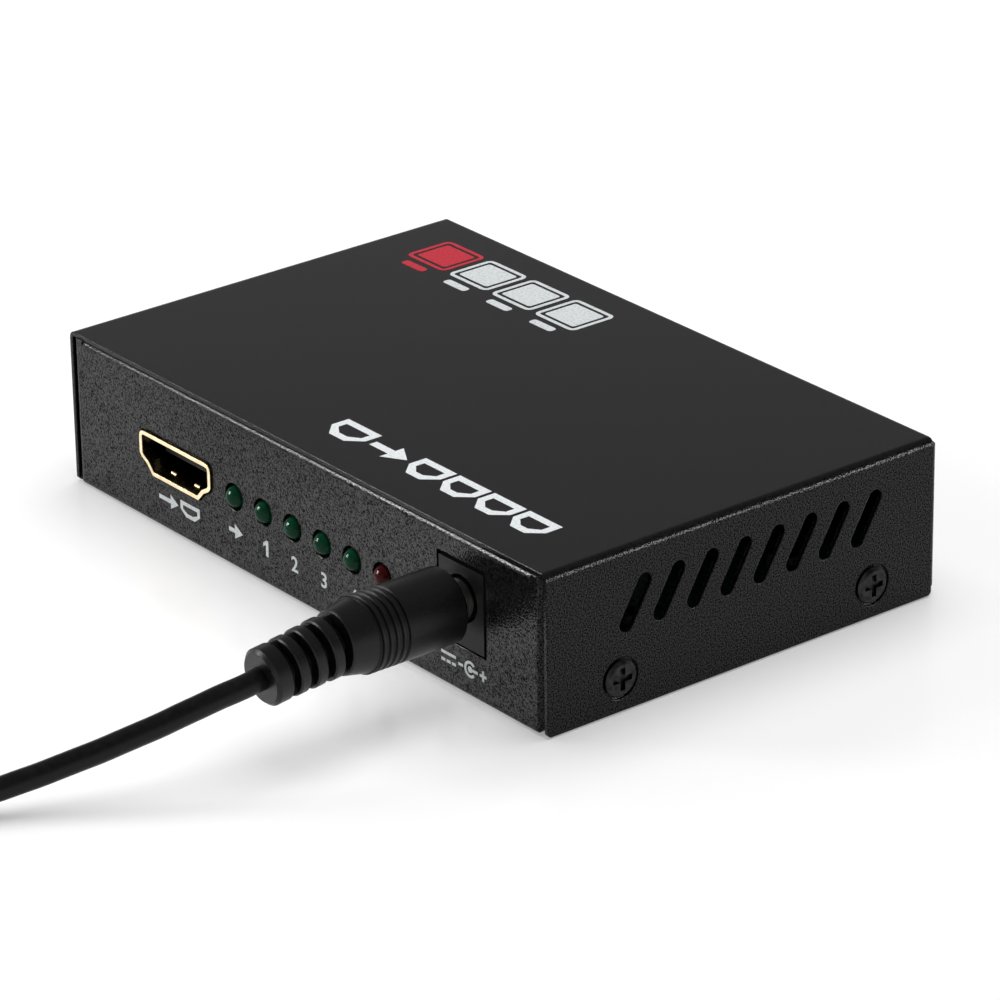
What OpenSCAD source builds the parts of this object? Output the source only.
// Video splitter: a folded sheet steel box with one input socket, four output sockets,
// a row of signal lights and a power jack. Its power lead is plugged in, with the spare length coiled.
// Millimetres, +Z up, origin below the middle of the cover, input side towards -Y.

/* [Case] */
// Width of the case along X
case_w = 100; // [98:0.5:104]
// Depth of the case along Y, over the front and back walls
case_d = 64.2; // [63:0.1:66]
// Height of the case
case_h = 21.8; // [21.4:0.1:23]
// Thickness of the sheet steel
sheet = 0.6; // [0.5:0.05:0.7]
// Outer radius of the tray's folds along X
bend_r = 0.8; // [0.8:0.1:1.2]
// Outer radius of the cover's folds
cover_bend_r = 1.1; // [0.9:0.1:1.4]
// How far the cover stops short of the front wall's face
cover_front_step = 0.1; // [0:0.1:0.8]
// How far the cover stops short of the back wall's face
cover_back_step = 1.55; // [1:0.05:1.8]
// Height of the cover's lower edges above the underside
cover_lift = 0.2; // [0.2:0.1:0.8]
// Room between the cover's sides and the tray's return flanges
side_gap = 0.2; // [0.1:0.05:0.3]

/* [Vents] */
// Number of slanted slots in each side
slot_count = 8; // [4:1:8]
// Distance between slots along Y
slot_pitch = 5.35; // [4.6:0.05:5.6]
// Width of a slot
slot_w = 2.2; // [1.6:0.1:2.4]
// Length of a slot, over its round ends
slot_len = 7.9; // [6:0.1:8.4]
// Lean of a slot from the horizontal
slot_angle = 59.5; // [50:0.5:90]
// Middle of the row of slots along Y
slot_mid_y = 1.1; // [-1:0.1:2]
// Height of the middle of the slots
slot_mid_z = 14.15; // [13.5:0.05:14.5]

/* [Sockets] */
// Outer width of a socket's shell
socket_w = 15.45; // [15:0.05:15.6]
// Outer height of a socket's shell
socket_h = 5.5; // [5.3:0.05:5.6]
// Length of a socket from its mouth to its back
socket_long = 11.5; // [10:0.5:13]
// Thickness of the shell's sheet
socket_sheet = 0.4; // [0.3:0.05:0.45]
// How far a socket's lip stands out of its wall
socket_proud = 0.3; // [0.1:0.05:0.5]
// Middle of the input socket along X
input_x = -26.3; // [-28:0.1:-25]
// Distance between the output sockets
output_pitch = 21.5; // [20:0.5:22]

/* [Lights] */
// Diameter of a signal light
light_d = 3; // [2.8:0.1:3.2]
// How far its tip stands out of the front wall
light_proud = 1; // [0.6:0.1:1.2]
// Diameter of its hole in the front wall
light_hole_d = 3.8; // [3.6:0.1:4]
// Distance between the lights
light_pitch = 6.25; // [6:0.05:6.4]
// Middle of the first light along X
first_light_x = -13.6; // [-14:0.1:-13]
// Height of the lights' axes
light_z = 10.15; // [10:0.05:10.4]

/* [Power jack] */
// Middle of the jack along X
jack_x = 33.7; // [32:0.1:36]
// Height of the jack's axis
jack_z = 13.05; // [12.8:0.05:13.2]
// Width of the jack
jack_w = 8.7; // [8.4:0.1:8.8]
// Length of the jack
jack_long = 14; // [13.5:0.5:15]
// Diameter of the jack's bore
jack_bore_d = 6.3; // [6.2:0.05:6.5]
// Diameter of the centre pin
pin_d = 2; // [1.9:0.02:2]

/* [Power plug] */
// Outer diameter of the plug's sleeve
sleeve_d = 5.5; // [5.4:0.05:5.5]
// Length of the sleeve in front of the grip
sleeve_long = 9.5; // [9:0.1:10]
// Gap between the front wall and the grip
grip_gap = 2.6; // [2:0.1:3]
// Diameter of the grip
grip_d = 9.9; // [9.6:0.1:10.4]
// Number of ring grooves round the grip
groove_count = 5; // [3:1:6]
// How far the strain relief droops, in degrees
relief_droop = 6.5; // [0:0.5:8]

/* [Power lead] */
// Diameter of the cord
cord_d = 3; // [2.8:0.1:3]
// Turns in the coil
coil_turns = 7.37; // [5.37:1:7.37]
// Radius of the coil's outermost turn
coil_r = 24.8; // [24.6:0.1:25.4]
// Distance between neighbouring turns
turn_pitch = 3.7; // [3.6:0.05:3.8]
// Distance between the two layers of turns
layer_pitch = 3.6; // [3.5:0.05:3.8]

/* [Hidden] */
$fn = 48;
both = [-1, 1];
past = 1; // how far a cutter runs past the face that it opens

// Case: the tray stands inside the cover
tray_w = case_w - 2 * (sheet + side_gap);
lid_gap = 0.08;
tray_h = case_h - sheet - lid_gap;
front_y = -31.5; // outer face of the front wall, from below the middle of the cover
back_y = front_y + case_d;
mid_y = (front_y + back_y) / 2;
lip_long = 5;
lip_half = 47;
lip_slit = 0.1;
lip_drop = 1;
flange_long = 16; // of its lower part, which takes the screw
flange_long_above = 7;
flange_step_z = 9.2;
flange_z = 2.2; // of the return flanges' lower edges
back_notch = 0.7; // of the back wall's upper corners, below the cover's edge
corner_r = 1.1; // of the folds from the walls to their return flanges
wall_corner_r = 2;
wall_top_r = 0.9; // clears the fold of the cover above it
cover_d = case_d - cover_front_step - cover_back_step;
cover_h = case_h - cover_lift;
cover_mid_y = mid_y + (cover_front_step - cover_back_step) / 2;
cover_corner_r = 0.6;
screw_y = [-20, 21];
screw_z = 4.7;
screw_seat_d = 5.6;
screw_seat_deep = 0.35;
screw_head_d = 4.8;
screw_head_h = 0.75;
screw_shank_d = 2.7;
screw_shank_long = 2.9; // stops short of the board's edge
screw_hole_d = 3.4;
tapped_room = 0.04; // how much wider a tapped hole is drawn than its screw

// Board, and the places and sizes of what is soldered to it
board_w = case_w - 7;
board_d = 59.8;
board_t = 1.6;
board_top = 7.3;
board_z = board_top - board_t;
board_hole_d = 2.8;
board_fixings = [for (x = both, y = both) [42.5 * x, 13 * y]];
standoff_d = 5.8;
board_screw_d = 2.46;
board_screw_head = [4.6, 1.6];
board_screw_long = 5;
splitter_chip_at = [2, 4];
splitter_chip_size = [14, 14, 1.4];
crystal_at = [-16, -3];
crystal_size = [11, 4.6, 3.5];
regulator_at = [26, -8];
regulator_size = [6.5, 3.5, 1.7];
inductor_at = [20, -16];
inductor_size = [7, 7, 3];
capacitors_at = [[22, -2], [30, -2]];
capacitor_d = 6.3;
capacitor_h = 5.8;
resistor_y = 17;
resistor_pitch = 3;
resistor_size = [2, 1.25, 0.5];

// Sockets
socket_corner_r = 0.8;
socket_shoulder = [[2.7, 0], [2.05, 0.7], [1.55, 1.25], [0.4, 1.9], [0, 2.4]]; // in from its side, and up
socket_lip = 0.15;
socket_lip_long = 0.4;
socket_hole_room = 0.2;
spring_x = 2.6; // from the socket's middle
spring_at = 1.9; // behind the socket's mouth
spring_d = 0.7;
spring_w = 1.1;
spring_z = 0.37; // of its axis, so that it stays just inside the shell's outer face
insulator_start = 6.6;
tongue_start = 2.5;
tongue_w = 11;
tongue_t = 1;
tongue_z = 3.05;
contact_w = 0.45;
contact_t = 0.12;
contact_long = 3.6;
contact_start = tongue_start + 0.3;
output_x = [for (i = [0:3]) (1.5 - i) * output_pitch];
socket_side = [
    for (place = socket_shoulder) [socket_w / 2 - place[0], place[1]],
    for (turn = [0:30:90]) [
        socket_w / 2 - socket_corner_r * (1 - cos(turn)),
        socket_h - socket_corner_r * (1 - sin(turn))
    ]
];
socket_rim = [
    each socket_side,
    for (i = [len(socket_side) - 1:-1:0]) [-socket_side[i][0], socket_side[i][1]]
];

// Lights
light_tip_y = front_y - light_proud;
light_body_long = 2.9 + light_proud;
light_flange_d = 3.9;
light_flange_long = 1;
light_wire = 0.5;
light_wire_pitch = 2.54;
light_wire_run = 2.5;

// Power jack and the parts of the plug that enter it
jack_front_y = front_y - 0.1;
jack_top = jack_z + 4.5;
jack_flange_long = 4;
jack_foot = [1.3, 0.6]; // of its face: how deep it is, and how far it reaches below the board's top
jack_bore_deep = 9.5;
jack_pin_tip = 1.7;
jack_slot_w = 3.4;
jack_slot_start = 1.5;
jack_back_drop = 1;
jack_back_r = 3;
jack_hole_left = 4.8;
jack_hole_right = 4.7;
jack_hole_z = [board_top - jack_foot[1] - 0.35, jack_top + 0.5];
leaf = [2.6, 7, 0.3];
leaf_start = 2;
leaf_room = 0.35;
grip_y = front_y - grip_gap;
sleeve_in_grip = 6;
insulator_d = 4.3;
inner_contact_d = 3.1;
inner_contact_bore = 2.1;
tip_step = 0.4;

// Grip: distances behind its front face
grip_edge = 0.4;
groove_start = 9.2;
groove_pitch = 1;
groove_w = 0.6;
groove_deep = 0.3;
shoulder_at = 13.6;
grip_end_at = 16.9;
grip_end_d = 8.3;

// Strain relief: distances behind the end of the grip
rib_pitch = 2.5;
rib_gap = 1;
relief_long = 10.9;
relief_core_d = 4.4;
relief_ribs_d = [7.9, 7.7, 7.5, 7.4];
rib_edge = 0.2;
collar_edge = 0.45;
spine_w = 2.2;
spine_r = 3.45;
spine_angles = [-62, 118];

// Lead: where it leaves the relief, and the coil that it runs to
grip_end = [jack_x, grip_y - grip_end_at, jack_z];
relief_way = [0, -cos(relief_droop), -sin(relief_droop)];
relief_end = grip_end + relief_long * relief_way;
tie_t = 0.4;
tie_w = 4;
tie_room = 0.2;
tie_angle = 60;
tie_inside = [9.3, 24.3]; // from the coil's middle
tie_bend_r = 1.5;
coil_mid = [-18.4, -117.2];
coil_z = tie_t + tie_room + cord_d / 2;
coil_start_angle = -32;
coil_steps = 24;
coil_step_count = round(coil_turns * coil_steps);
coil_end_angle = coil_start_angle - 360 * coil_turns;
coil_in_way = [sin(coil_start_angle), -cos(coil_start_angle), 0];
coil_out_way = [sin(coil_end_angle), -cos(coil_end_angle), 0];
coil_in = coil_point(0) - cord_d * coil_in_way;
coil_out = coil_point(coil_turns) + cord_d * coil_out_way;
tail_long = 13;
far_plug_z = 4;
far_plug_at = [coil_out[0], coil_out[1], far_plug_z] + tail_long * coil_out_way;
far_plug_turn = coil_end_angle - 90;

// Route of the cord from the strain relief to the coil
lead_route = [
    relief_end,
    relief_end + cord_d * relief_way,
    [33.4, -67.6, 11.1],
    [32.9, -70.2, 10.5],
    [32.2, -72.6, 9.8],
    [31.4, -74.9, 9],
    [30.4, -77.1, 8.2],
    [29.4, -79.3, 7.4],
    [28.4, -81.5, 6.6],
    [27.4, -83.7, 5.9],
    [26.4, -85.9, 5.2],
    [25.4, -88.2, 4.5],
    [24.4, -90.5, 3.9],
    [23.4, -92.8, 3.3],
    [21.7, -96.6, 2.6],
    [19.5, -101.2, 2.2],
    [17, -106, coil_z],
    [11.7, -115.2, coil_z],
    coil_in - 4 * coil_in_way,
    coil_in
];
tail_route = [
    coil_out,
    coil_out + cord_d * coil_out_way,
    coil_out + 6 * coil_out_way - [0, 0, 0.7],
    far_plug_at - 4 * coil_out_way + [0, 0, 0.2],
    far_plug_at - 2 * coil_out_way,
    far_plug_at
];
coil_route = [
    coil_in,
    for (i = [0:coil_step_count]) coil_point(i * coil_turns / coil_step_count),
    coil_out
];

// Far end of the lead: a flat power plug
far_stub_long = 6;
far_stub_d = [4.4, 6.4];
far_grip = [24, 15, 8];
far_grip_edge_r = 2.4;
far_grip_corner_r = 3;
far_shell = [18, 12, 4.5];
far_shell_in_grip = 4;
far_shell_r = 0.8;
far_shell_sheet = 0.3;
far_shell_start = far_stub_long + far_grip[0] - far_shell_in_grip;
far_window = [2, 2.2];
far_window_pitch = 5.5;
far_window_at = 11.5;
far_tongue = [13, 10.3, 1.9];
far_tongue_short = 0.4;
far_tongue_z = far_shell_sheet - far_shell[2] / 2;
far_contact = [7, 1, 0.15];
far_contact_pitch = 2.3;
far_contact_short = 1.6;

// Colours
black_paint = [0.14, 0.14, 0.145];
dark_plastic = [0.06, 0.06, 0.065];
gold = [0.83, 0.68, 0.4];
steel = [0.72, 0.72, 0.74];
board_green = [0.05, 0.3, 0.16];
green_light = [0.06, 0.32, 0.18];
red_light = [0.42, 0.06, 0.08];

// Place on the spiral after a number of turns: inwards on the lower layer and out again on the upper one
function coil_point(turn) =
    let (
        r = coil_r - turn_pitch * min(turn, coil_turns - turn),
        climb = min(1, max(0, (turn - coil_turns / 2 + 0.25) * 2)),
        angle = coil_start_angle - 360 * turn
    )
    [
        coil_mid[0] + r * cos(angle),
        coil_mid[1] + r * sin(angle),
        coil_z + layer_pitch * climb * climb * (3 - 2 * climb)
    ];

function unit(v) = v / norm(v);

// Corner of a loop that runs to the left, moved in from both of its edges by a distance
function inset_corner(loop, i, inset) =
    let (
        count = len(loop),
        before = unit(loop[i] - loop[(i + count - 1) % count]),
        after = unit(loop[(i + 1) % count] - loop[i]),
        in_before = [-before[1], before[0]],
        in_after = [-after[1], after[0]]
    )
    loop[i] + inset * (in_before + in_after) / (1 + in_before * in_after);

function way(path, i) = unit(path[min(i + 1, len(path) - 1)] - path[max(i - 1, 0)]);

// Least distance between two points of the coil that lie over half a turn apart, less the cord's diameter
coil_gap = min([
    for (i = [0:len(coil_route) - 1], j = [i + coil_steps / 2 + 1:1:len(coil_route) - 1])
        norm(coil_route[i] - coil_route[j])
]) - cord_d;
echo(least_gap_of_the_coil_to_itself = coil_gap);

// Rectangle with round corners
module rounded_rect(w, h, r) {
    square([w - 2 * r, h], center = true);
    square([w, h - 2 * r], center = true);
    for (x = both, y = both)
        translate([x * (w / 2 - r), y * (h / 2 - r)])
            circle(r);
}

// Upright outline with two round upper corners, standing on its baseline
module arch(w, h, r) {
    translate([-w / 2, 0])
        square([w, h - r]);
    translate([-w / 2 + r, 0])
        square([w - 2 * r, h]);
    for (x = both)
        translate([x * (w / 2 - r), h - r])
            circle(r);
}

// Extrudes an outline drawn in Y and Z along X, to both sides
module across_x(wide) {
    rotate([90, 0, 90])
        linear_extrude(wide, center = true)
            children();
}

// Block that stands on z = 0, folded round along its X edges and at its upright corners
module folded_block(w, d, h, edge_r, upright_r) {
    intersection() {
        translate([0, 0, h / 2])
            across_x(w)
                rounded_rect(d, h, edge_r);
        linear_extrude(h)
            rounded_rect(w, d, upright_r);
    }
}

// What lies outside a round corner: taken away at the origin, towards +X and +Y
module corner_waste(r, long) {
    linear_extrude(long, center = true)
        difference() {
            translate([-r, -r])
                square(r + past);
            translate([-r, -r])
                circle(r);
        }
}

// Outline of a socket, set in by a distance, with its wide side up
module socket_outline(inset) {
    polygon([for (i = [0:len(socket_rim) - 1]) inset_corner(socket_rim, i, inset)]);
}

// Extrudes an outline drawn in X and Z along +Y
module along_y(long) {
    translate([0, long, 0])
        rotate([90, 0, 0])
            linear_extrude(long)
                children();
}

// Turns a piece drawn along +Z to lie along -Y
module facing_front() {
    rotate([90, 0, 0])
        children();
}

module at_input_socket() {
    translate([input_x, front_y - socket_proud, board_top])
        children();
}

module at_output_socket(number) {
    translate([output_x[number - 1], back_y + socket_proud, board_top])
        rotate(180)
            children();
}

module at_light(place) {
    translate([first_light_x + place * light_pitch, light_tip_y, light_z])
        children();
}

module at_side_screws() {
    for (side = both, y = screw_y)
        translate([side * case_w / 2, y, screw_z])
            rotate([0, side * 90, 0])
                children();
}

// Tube swept along a route that is never upright
module tube(path, d, sides) {
    rings = len(path);
    points = [
        for (i = [0:rings - 1])
            let (
                ahead = way(path, i),
                side = unit(cross(ahead, [0, 0, 1])),
                up = cross(side, ahead)
            )
            for (k = [0:sides - 1])
                path[i] + d / 2 * (cos(360 * k / sides) * side + sin(360 * k / sides) * up)
    ];
    last = (rings - 1) * sides;
    faces = [
        for (k = [1:sides - 2]) [0, k + 1, k],
        for (k = [1:sides - 2]) [last, last + k, last + k + 1],
        for (i = [0:rings - 2], k = [0:sides - 1])
            let (a = i * sides + k, b = i * sides + (k + 1) % sides)
            each [[a, b, b + sides], [a, b + sides, a + sides]]
    ];
    polyhedron(points, faces);
}

// Bottom, front and back walls with their upper lips, and the upright corners, about the tray's own middle
module tray_shell() {
    inner_w = tray_w - 2 * sheet;
    inner_d = case_d - 2 * sheet;
    difference() {
        folded_block(tray_w, case_d, tray_h, bend_r, corner_r);
        translate([0, 0, sheet])
            folded_block(inner_w, inner_d, tray_h - 2 * sheet, bend_r - sheet, corner_r - sheet);
        translate([0, 0, tray_h])
            cube([case_w, case_d - 2 * lip_long, 2 * lip_drop], center = true);
        for (side = both)
            translate([side * (lip_half + case_w / 2), 0, tray_h])
                cube([case_w, case_d + past, 2 * lip_drop], center = true);
    }
    intersection() {
        translate([0, 0, tray_h / 2])
            linear_extrude(tray_h / 2)
                difference() {
                    rounded_rect(tray_w, case_d, corner_r);
                    rounded_rect(inner_w, inner_d, corner_r - sheet);
                }
        for (side = both)
            translate([side * (lip_half + lip_slit + case_w / 2), 0, tray_h])
                cube([case_w, case_d + past, 3 * tray_h], center = true);
    }
}

// Openings in the front wall
module front_wall_holes() {
    deep = 2 * sheet + past;
    at_input_socket()
        translate([0, -past, 0])
            along_y(deep)
                socket_outline(-socket_lip - socket_hole_room);
    for (place = [0:5])
        at_light(place)
            rotate([-90, 0, 0])
                cylinder(d = light_hole_d, h = light_proud + deep);
    translate([jack_x - jack_hole_left, front_y - past, jack_hole_z[0]])
        cube([jack_hole_left + jack_hole_right, deep, jack_hole_z[1] - jack_hole_z[0]]);
}

module base_tray() {
    color(black_paint)
        difference() {
            translate([0, mid_y, 0])
                tray_shell();
            translate([0, mid_y, sheet + case_h / 2])
                cube([case_w, case_d - 2 * flange_long, case_h], center = true);
            translate([0, mid_y, flange_step_z + case_h / 2])
                cube([case_w, case_d - 2 * flange_long_above, case_h], center = true);
            for (side = both)
                translate([side * (lip_half + case_w / 2), back_y, tray_h])
                    cube([case_w, 4 * sheet, 2 * back_notch], center = true);
            for (side = both)
                translate([side * tray_w / 2, mid_y, 0])
                    cube([2 * wall_corner_r, case_d - 2 * corner_r, 2 * flange_z], center = true);
            for (side = [0, 1], y = [front_y, back_y])
                mirror([side, 0, 0])
                    translate([tray_w / 2, y, 0])
                        rotate([-90, 0, 0])
                            corner_waste(wall_corner_r, 2 * corner_r + past);
            for (side = [0, 1])
                mirror([side, 0, 0])
                    translate([tray_w / 2, mid_y, tray_h])
                        rotate([90, 0, 0])
                            corner_waste(wall_top_r, case_d + past);
            front_wall_holes();
            for (number = [1:4])
                at_output_socket(number)
                    translate([0, -past, 0])
                        along_y(2 * sheet + past)
                            socket_outline(-socket_lip - socket_hole_room);
            at_side_screws()
                translate([0, 0, -2 * sheet - 2 * side_gap - past])
                    cylinder(d = screw_shank_d + tapped_room, h = 2 * sheet + past);
        }
}

// One slanted slot, cut through a side of the cover
module vent_slot() {
    rotate([90, 0, 90])
        linear_extrude(2 * sheet + past, center = true)
            rotate(slot_angle) {
                square([slot_len - slot_w, slot_w], center = true);
                for (end = both)
                    translate([end * (slot_len - slot_w) / 2, 0])
                        circle(d = slot_w);
            }
}

module cover() {
    color(black_paint)
        difference() {
            translate([0, cover_mid_y, cover_lift])
                rotate([90, 0, 0])
                    linear_extrude(cover_d, center = true)
                        difference() {
                            arch(case_w, cover_h, cover_bend_r);
                            translate([0, -past])
                                arch(case_w - 2 * sheet, cover_h - sheet + past, cover_bend_r - sheet);
                        }
            for (end = [0, 1])
                translate([0, cover_mid_y, cover_lift])
                    mirror([0, end, 0])
                        translate([0, cover_d / 2, 0])
                            rotate([0, 90, 0])
                                corner_waste(cover_corner_r, case_w + past);
            for (side = both, i = [0:slot_count - 1])
                translate([
                    side * case_w / 2,
                    slot_mid_y + (i - (slot_count - 1) / 2) * slot_pitch,
                    slot_mid_z
                ])
                    vent_slot();
            at_side_screws() {
                translate([0, 0, -screw_seat_deep])
                    cylinder(d = screw_seat_d, h = sheet);
                translate([0, 0, -2 * sheet])
                    cylinder(d = screw_hole_d, h = 2 * sheet);
            }
        }
}

// Screw whose head stands on z = 0, with a cross recess
module cross_screw(head_d, head_h, shank_d, shank_long) {
    face_d = 0.82 * head_d;
    recess = [0.62 * head_d, 0.16 * head_d, 1.3 * head_h];
    difference() {
        union() {
            cylinder(d = head_d, h = head_h / 2);
            translate([0, 0, head_h / 2])
                cylinder(d1 = head_d, d2 = face_d, h = head_h / 2);
        }
        for (turn = [0, 90])
            rotate(turn)
                translate([0, 0, head_h])
                    cube(recess, center = true);
    }
    translate([0, 0, -shank_long])
        cylinder(d = shank_d, h = shank_long);
}

module cover_screws() {
    color(dark_plastic)
        at_side_screws()
            translate([0, 0, -screw_seat_deep])
                cross_screw(screw_head_d, screw_head_h, screw_shank_d, screw_shank_long);
}

module circuit_board() {
    color(board_green)
        translate([0, 0, board_z])
            linear_extrude(board_t)
                difference() {
                    square([board_w, board_d], center = true);
                    for (place = board_fixings)
                        translate(place)
                            circle(d = board_hole_d);
                }
}

module board_standoffs() {
    color(steel)
        for (place = board_fixings)
            translate([place[0], place[1], sheet])
                difference() {
                    cylinder(d = standoff_d, h = board_z - sheet, $fn = 6);
                    cylinder(d = board_screw_d + tapped_room, h = 3 * board_z, center = true);
                }
}

module board_screws() {
    color(steel)
        for (place = board_fixings)
            translate([place[0], place[1], board_top])
                cross_screw(board_screw_head[0], board_screw_head[1], board_screw_d, board_screw_long);
}

module on_board(place) {
    translate([place[0], place[1], board_top])
        children();
}

// Moulded package on the board: a block with a slightly smaller cap
module chip_package(size) {
    cap = 0.3;
    translate([-size[0] / 2, -size[1] / 2, 0])
        cube(size - [0, 0, cap]);
    translate([-size[0] / 2 + cap, -size[1] / 2 + cap, 0])
        cube(size - [2 * cap, 2 * cap, 0]);
}

module splitter_chip() {
    color(dark_plastic)
        on_board(splitter_chip_at)
            chip_package(splitter_chip_size);
}

module crystal() {
    color(steel)
        on_board(crystal_at)
            linear_extrude(crystal_size[2])
                rounded_rect(crystal_size[0], crystal_size[1], crystal_size[1] * 0.45);
}

module regulator() {
    color(dark_plastic)
        on_board(regulator_at)
            chip_package(regulator_size);
}

module inductor() {
    color(dark_plastic)
        on_board(inductor_at)
            chip_package(inductor_size);
}

module capacitors() {
    color(steel)
        for (place = capacitors_at)
            on_board(place)
                cylinder(d = capacitor_d, h = capacitor_h);
}

// Three resistors behind each output socket
module chip_resistors() {
    color(dark_plastic)
        for (x = output_x, k = [-1:1])
            on_board([x + k * resistor_pitch, resistor_y])
                chip_package(resistor_size);
}

// Folded shell with four round spring bumps inside, which press on the plug from above and below
module socket_shell() {
    color(gold) {
        for (x = both, z = [spring_z, socket_h - spring_z])
            translate([x * spring_x, spring_at, z])
                rotate([0, 90, 0])
                    cylinder(d = spring_d, h = spring_w, center = true);
        difference() {
            union() {
                along_y(socket_long)
                    socket_outline(0);
                along_y(socket_lip_long)
                    socket_outline(-socket_lip);
            }
            translate([0, -past, 0])
                along_y(socket_long + 2 * past)
                    socket_outline(socket_sheet);
        }
    }
}

module socket_insulator() {
    color(dark_plastic) {
        translate([0, insulator_start, 0])
            along_y(socket_long - insulator_start)
                socket_outline(socket_sheet);
        translate([-tongue_w / 2, tongue_start, tongue_z - tongue_t / 2])
            cube([tongue_w, insulator_start - tongue_start + past, tongue_t]);
    }
}

// Ten contacts above the tongue and nine below it, a millimetre apart
module socket_contacts() {
    color(gold)
        for (row = [[10, tongue_t / 2], [9, -tongue_t / 2 - contact_t]], i = [0:row[0] - 1])
            translate([i - (row[0] - 1) / 2 - contact_w / 2, contact_start, tongue_z + row[1]])
                cube([contact_w, contact_long, contact_t]);
}

// Signal light: a round lens with a domed tip, on a flange
module signal_light(place, tint) {
    color(tint)
        at_light(place)
            translate([0, light_d / 2, 0])
                rotate([-90, 0, 0]) {
                    sphere(d = light_d);
                    cylinder(d = light_d, h = light_body_long);
                    translate([0, 0, light_body_long])
                        cylinder(d = light_flange_d, h = light_flange_long);
                }
}

// Two wires a light, straight back from its flange and down to the board
module light_leads() {
    back = light_d / 2 + light_body_long + light_flange_long;
    drop = light_z - board_top;
    color(steel)
        for (place = [0:5], side = both)
            at_light(place)
                translate([(side * light_wire_pitch - light_wire) / 2, back, -light_wire / 2]) {
                    cube([light_wire, light_wire_run, light_wire]);
                    translate([0, light_wire_run - light_wire, light_wire / 2 - drop])
                        cube([light_wire, light_wire, drop]);
                }
}

module power_jack_body() {
    tall = jack_top - board_top;
    axis_z = jack_z - board_top;
    color(dark_plastic)
        translate([jack_x, jack_front_y, board_top])
            difference() {
                union() {
                    translate([-jack_w / 2, 0, 0])
                        cube([jack_w, jack_flange_long, tall]);
                    translate([-jack_w / 2, 0, -jack_foot[1]])
                        cube([jack_w, jack_foot[0], tall / 2]);
                    along_y(jack_long)
                        arch(jack_w, tall - jack_back_drop, jack_back_r);
                }
                translate([0, -past, axis_z])
                    rotate([-90, 0, 0])
                        cylinder(d = jack_bore_d, h = jack_bore_deep + past);
                translate([-jack_slot_w / 2, jack_slot_start, -past])
                    cube([jack_slot_w, jack_bore_deep - jack_slot_start, axis_z + past]);
                translate([0, jack_bore_deep - past, axis_z])
                    rotate([-90, 0, 0])
                        cylinder(d = pin_d, h = jack_long);
            }
}

module power_jack_pin() {
    color(steel)
        translate([jack_x, jack_front_y, jack_z])
            rotate([-90, 0, 0]) {
                translate([0, 0, jack_pin_tip + pin_d / 2])
                    cylinder(d = pin_d, h = jack_long - jack_pin_tip - pin_d / 2);
                translate([0, 0, jack_pin_tip + pin_d / 2])
                    sphere(d = pin_d);
            }
}

// Leaf that presses on the plug's sleeve from below, with its solder tag
module power_jack_spring() {
    leaf_top = jack_z - sleeve_d / 2 - leaf_room;
    color(steel)
        translate([jack_x - leaf[0] / 2, jack_front_y + leaf_start, 0]) {
            translate([0, 0, leaf_top - leaf[2]])
                cube(leaf);
            translate([0, leaf[1] - leaf[2], board_top])
                cube([leaf[0], leaf[2], leaf_top - board_top]);
        }
}

// Tube of the plug, from inside the grip to a distance short of the plug's tip
module plug_tube(outer_d, inner_d, short) {
    long = sleeve_long - short + sleeve_in_grip;
    translate([jack_x, grip_y + sleeve_long - short, jack_z])
        facing_front()
            difference() {
                cylinder(d = outer_d, h = long);
                translate([0, 0, -past])
                    cylinder(d = inner_d, h = long + 2 * past);
            }
}

module plug_sleeve() {
    color(steel)
        plug_tube(sleeve_d, insulator_d, tip_step);
}

module plug_insulator() {
    color(dark_plastic)
        plug_tube(insulator_d, inner_contact_d, 0);
}

module plug_inner_contact() {
    color(steel)
        plug_tube(inner_contact_d, inner_contact_bore, 2 * tip_step);
}

// Half outline of the grip, from its front face back along the axis: radius and distance
function grip_outline() = [
    [0, 0],
    [grip_d / 2 - grip_edge, 0],
    [grip_d / 2, grip_edge],
    for (i = [0:groove_count - 1])
        let (at = groove_start + i * groove_pitch)
        each [
            [grip_d / 2, at - groove_w / 2],
            [grip_d / 2 - groove_deep, at - groove_w / 4],
            [grip_d / 2 - groove_deep, at + groove_w / 4],
            [grip_d / 2, at + groove_w / 2]
        ],
    [grip_d / 2, shoulder_at - rib_edge],
    [grip_d / 2 - rib_edge, shoulder_at],
    [grip_end_d / 2, grip_end_at - rib_edge],
    [grip_end_d / 2 - rib_edge, grip_end_at],
    [0, grip_end_at]
];

// Half outline of the strain relief: three ribs and a thick end collar on a slimmer core
function relief_outline() = [
    [0, -past],
    [relief_core_d / 2, -past],
    for (i = [0:3])
        let (
            start = rib_gap + i * rib_pitch,
            end = i < 3 ? start + rib_pitch - rib_gap : relief_long,
            r = relief_ribs_d[i] / 2,
            end_edge = i < 3 ? rib_edge : collar_edge
        )
        each [
            [relief_core_d / 2, start],
            [r - rib_edge, start],
            [r, start + rib_edge],
            [r, end - end_edge],
            [r - end_edge, end],
            [i < 3 ? relief_core_d / 2 : 0, end]
        ]
];

module plug_grip() {
    color(dark_plastic)
        difference() {
            union() {
                translate([jack_x, grip_y, jack_z])
                    facing_front()
                        rotate_extrude()
                            polygon(grip_outline());
                translate(grip_end)
                    rotate([90 + relief_droop, 0, 0]) {
                        rotate_extrude()
                            polygon(relief_outline());
                        for (angle = spine_angles)
                            rotate(angle)
                                translate([0, -spine_w / 2, -past])
                                    cube([spine_r, spine_w, 3 * rib_pitch + 2 * rib_gap + past]);
                    }
            }
            translate([jack_x, grip_y + past, jack_z])
                facing_front()
                    cylinder(d = sleeve_d, h = sleeve_in_grip + past);
        }
}

module lead_cord() {
    color(dark_plastic)
        tube(lead_route, cord_d, 8);
}

module lead_coil() {
    color(dark_plastic)
        tube(coil_route, cord_d, 6);
}

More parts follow.
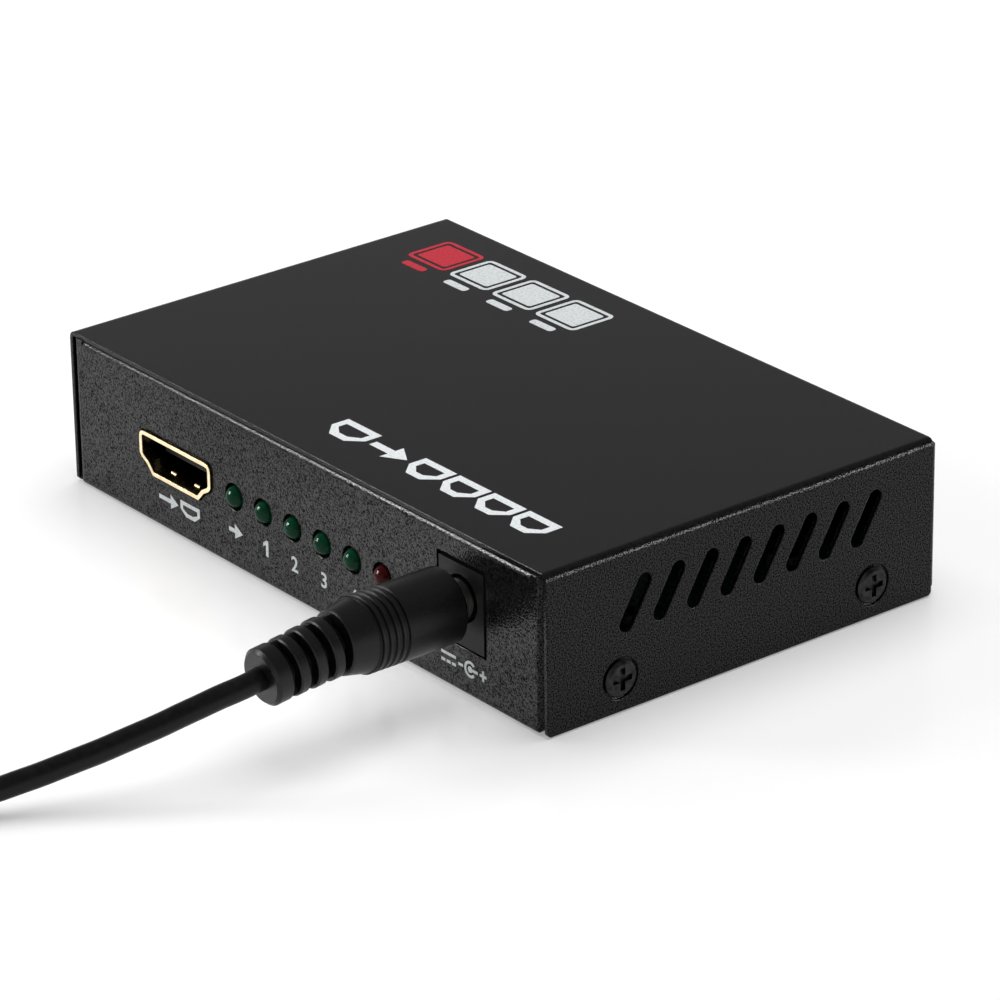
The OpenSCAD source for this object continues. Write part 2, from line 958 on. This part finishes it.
module lead_tail() {
    color(dark_plastic)
        tube(tail_route, cord_d, 8);
}

// Band round all the turns on one side of the coil
module coil_tie() {
    wide = tie_inside[1] - tie_inside[0];
    tall = layer_pitch + cord_d + 2 * tie_room;
    color(dark_plastic)
        translate([coil_mid[0], coil_mid[1], tie_t + tall / 2])
            rotate(tie_angle)
                translate([tie_inside[0] + wide / 2, 0, 0])
                    rotate([90, 0, 0])
                        linear_extrude(tie_w, center = true)
                            difference() {
                                rounded_rect(wide + 2 * tie_t, tall + 2 * tie_t, tie_bend_r + tie_t);
                                rounded_rect(wide, tall, tie_bend_r);
                            }
}

module at_far_plug() {
    translate(far_plug_at)
        rotate(far_plug_turn)
            children();
}

// Box that starts at a distance along the far plug's axis, centred on it
module far_plug_box(start, size, r) {
    translate([start, 0, 0])
        rotate([90, 0, 90])
            linear_extrude(size[0])
                rounded_rect(size[1], size[2], r);
}

module far_plug_grip() {
    color(dark_plastic)
        at_far_plug()
            difference() {
                union() {
                    rotate([0, 90, 0])
                        cylinder(d1 = far_stub_d[0], d2 = far_stub_d[1], h = far_stub_long + past);
                    intersection() {
                        far_plug_box(far_stub_long, far_grip, far_grip_edge_r);
                        translate([far_stub_long + far_grip[0] / 2, 0, 0])
                            linear_extrude(2 * far_grip[2], center = true)
                                rounded_rect(far_grip[0], far_grip[1], far_grip_corner_r);
                    }
                }
                far_plug_box(far_shell_start, far_shell, far_shell_r);
            }
}

// Folded shell with two latch windows through its wide sides
module far_plug_shell() {
    hollow = far_shell + [2 * past, -2 * far_shell_sheet, -2 * far_shell_sheet];
    color(steel)
        at_far_plug()
            difference() {
                far_plug_box(far_shell_start, far_shell, far_shell_r);
                far_plug_box(far_shell_start - past, hollow, far_shell_r - far_shell_sheet);
                for (side = both)
                    translate([far_shell_start + far_window_at, side * far_window_pitch / 2, 0])
                        cube([far_window[0], far_window[1], 2 * far_shell[2]], center = true);
            }
}

// Puts a box of the given length short of the shell's mouth, centred across it
module in_far_shell(size, short, z) {
    translate([far_shell_start + far_shell[0] - short - size[0], -size[1] / 2, z])
        cube(size);
}

module far_plug_tongue() {
    color(dark_plastic)
        at_far_plug()
            in_far_shell(far_tongue, far_tongue_short, far_tongue_z);
}

module far_plug_contacts() {
    color(gold)
        at_far_plug()
            for (i = [-1.5:1.5])
                translate([0, i * far_contact_pitch, 0])
                    in_far_shell(far_contact, far_contact_short, far_tongue_z + far_tongue[2]);
}

base_tray();
cover();
cover_screws();
circuit_board();
board_standoffs();
board_screws();
splitter_chip();
crystal();
regulator();
inductor();
capacitors();
chip_resistors();
at_input_socket() socket_shell();  // input_socket_shell
at_input_socket() socket_insulator();  // input_socket_insulator
at_input_socket() socket_contacts();  // input_socket_contacts
for (i = [1:4]) {
    at_output_socket(i) socket_shell();
    at_output_socket(i) socket_insulator();
    at_output_socket(i) socket_contacts();
    signal_light(i, green_light);
}
signal_light(0, green_light);  // light_input
signal_light(5, red_light);  // light_power
light_leads();
power_jack_body();
power_jack_pin();
power_jack_spring();
plug_sleeve();
plug_insulator();
plug_inner_contact();
plug_grip();
lead_cord();
lead_coil();
lead_tail();
coil_tie();
far_plug_grip();
far_plug_shell();
far_plug_tongue();
far_plug_contacts();
